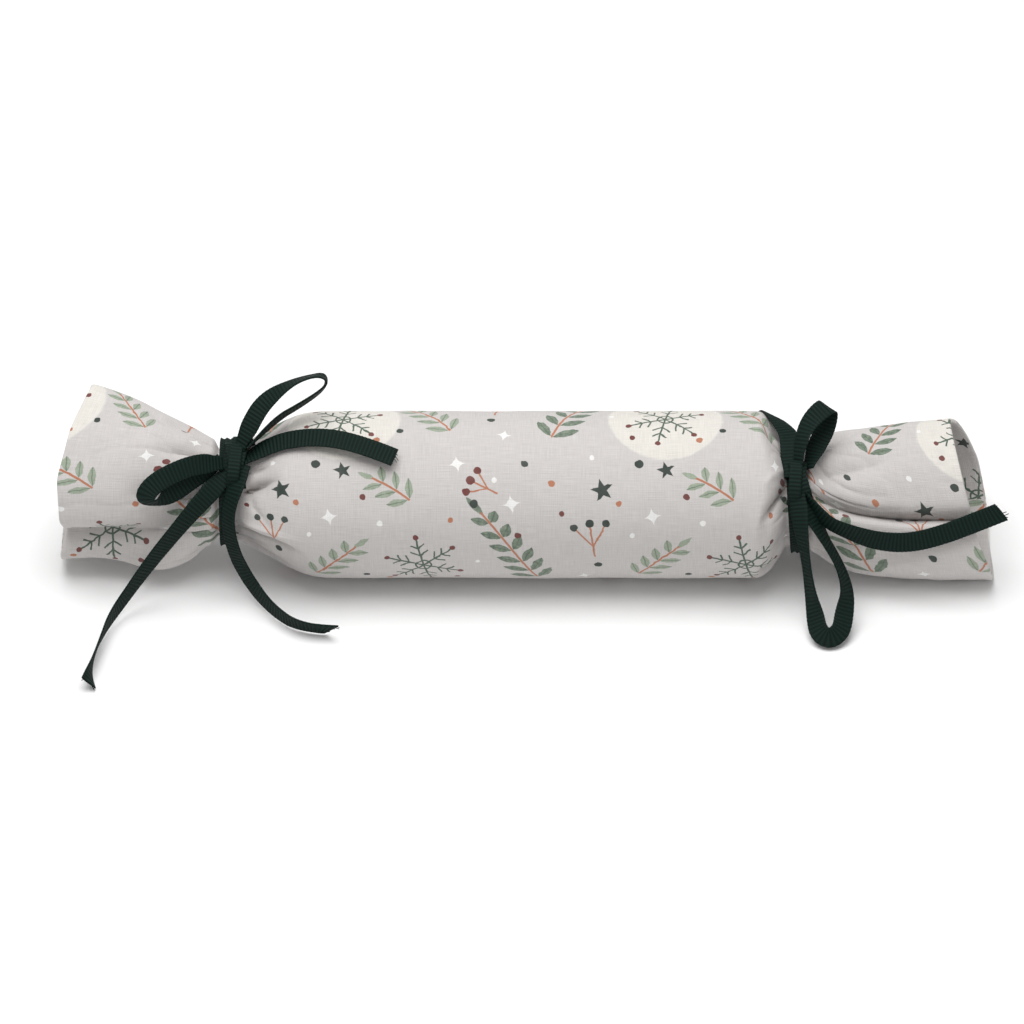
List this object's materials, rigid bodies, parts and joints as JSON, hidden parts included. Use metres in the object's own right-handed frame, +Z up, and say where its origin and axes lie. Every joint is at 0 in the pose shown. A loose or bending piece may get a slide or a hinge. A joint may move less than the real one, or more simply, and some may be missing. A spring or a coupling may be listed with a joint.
{
  "type": "christmas cracker",
  "caption": "Reusable fabric Christmas cracker: a round printed-cotton barrel gathered at both necks with ribbon bows, open flared ends, and a pull snap, paper crown and gift inside.",
  "frame": {"origin": "on the table, under the middle of the cracker", "axes": "+X along the cracker from the bow with the short front loop to the other, +Y to its back, +Z up"},
  "size_m": [0.2817, 0.1029, 0.0654],
  "materials": {
    "printed_cotton": "matte woven cotton with a printed winter pattern",
    "grosgrain_ribbon": "dark green ribbed ribbon with a low sheen",
    "card": "plain rolled card",
    "snap_card": "plain grey card",
    "friction_coat": "rough dark coating",
    "snap_paper": "plain paper",
    "tissue_paper": "matte tissue paper",
    "motto_paper": "plain white paper",
    "turned_wood": "smooth turned wood"
  },
  "bodies": {
    "barrel": {"wrap_barrel": "printed_cotton", "card_tube": "card", "left_ribbon_band": "grosgrain_ribbon", "right_ribbon_band": "grosgrain_ribbon", "left_ribbon_knot": "grosgrain_ribbon", "right_ribbon_knot": "grosgrain_ribbon", "left_bow_upper_loop": "grosgrain_ribbon", "left_bow_front_loop": "grosgrain_ribbon", "left_bow_long_tail": "grosgrain_ribbon", "left_bow_curved_tail": "grosgrain_ribbon", "left_bow_top_tail": "grosgrain_ribbon", "right_bow_upper_loop": "grosgrain_ribbon", "right_bow_lower_loop": "grosgrain_ribbon", "right_bow_long_tail": "grosgrain_ribbon", "right_bow_back_tail": "grosgrain_ribbon"},
    "left_end": {"wrap_left_end": "printed_cotton"},
    "right_end": {"wrap_right_end": "printed_cotton"},
    "left_snap": {"snap_strip_left": "snap_card", "snap_friction_pad": "friction_coat"},
    "right_snap": {"snap_strip_right": "snap_card", "snap_paper_band": "snap_paper"},
    "crown": {"paper_crown": "tissue_paper", "motto_slip": "motto_paper"},
    "gift": {"spinning_top": "turned_wood"}
  },
  "joints": [
    {"name": "left_end_bend", "type": "hinge", "parent": "barrel", "child": "left_end", "pos_m": [-0.0894, 0, 0.0255], "axis": [0, 0, 1], "range_deg": [-15, 15], "deforming": ["left_bow_front_loop", "left_bow_long_tail"]},
    {"name": "right_end_bend", "type": "hinge", "parent": "barrel", "child": "right_end", "pos_m": [0.0804, 0, 0.025], "axis": [0, 0, 1], "range_deg": [-15, 15], "deforming": ["right_bow_long_tail"]},
    {"name": "left_snap_pull", "type": "slide", "parent": "barrel", "child": "left_snap", "axis": [-1, 0, 0], "range_m": [0, 0.012]},
    {"name": "right_snap_pull", "type": "slide", "parent": "barrel", "child": "right_snap", "axis": [1, 0, 0], "range_m": [0, 0.012]},
    {"name": "crown_slide", "type": "slide", "parent": "barrel", "child": "crown", "axis": [1, 0, 0], "range_m": [-0.005, 0.005]},
    {"name": "gift_slide", "type": "slide", "parent": "barrel", "child": "gift", "axis": [1, 0, 0], "range_m": [-0.008, 0.008]}
  ],
  "couplings": [
    {"joint": "right_snap_pull", "follows": "left_snap_pull", "ratio": 1}
  ]
}
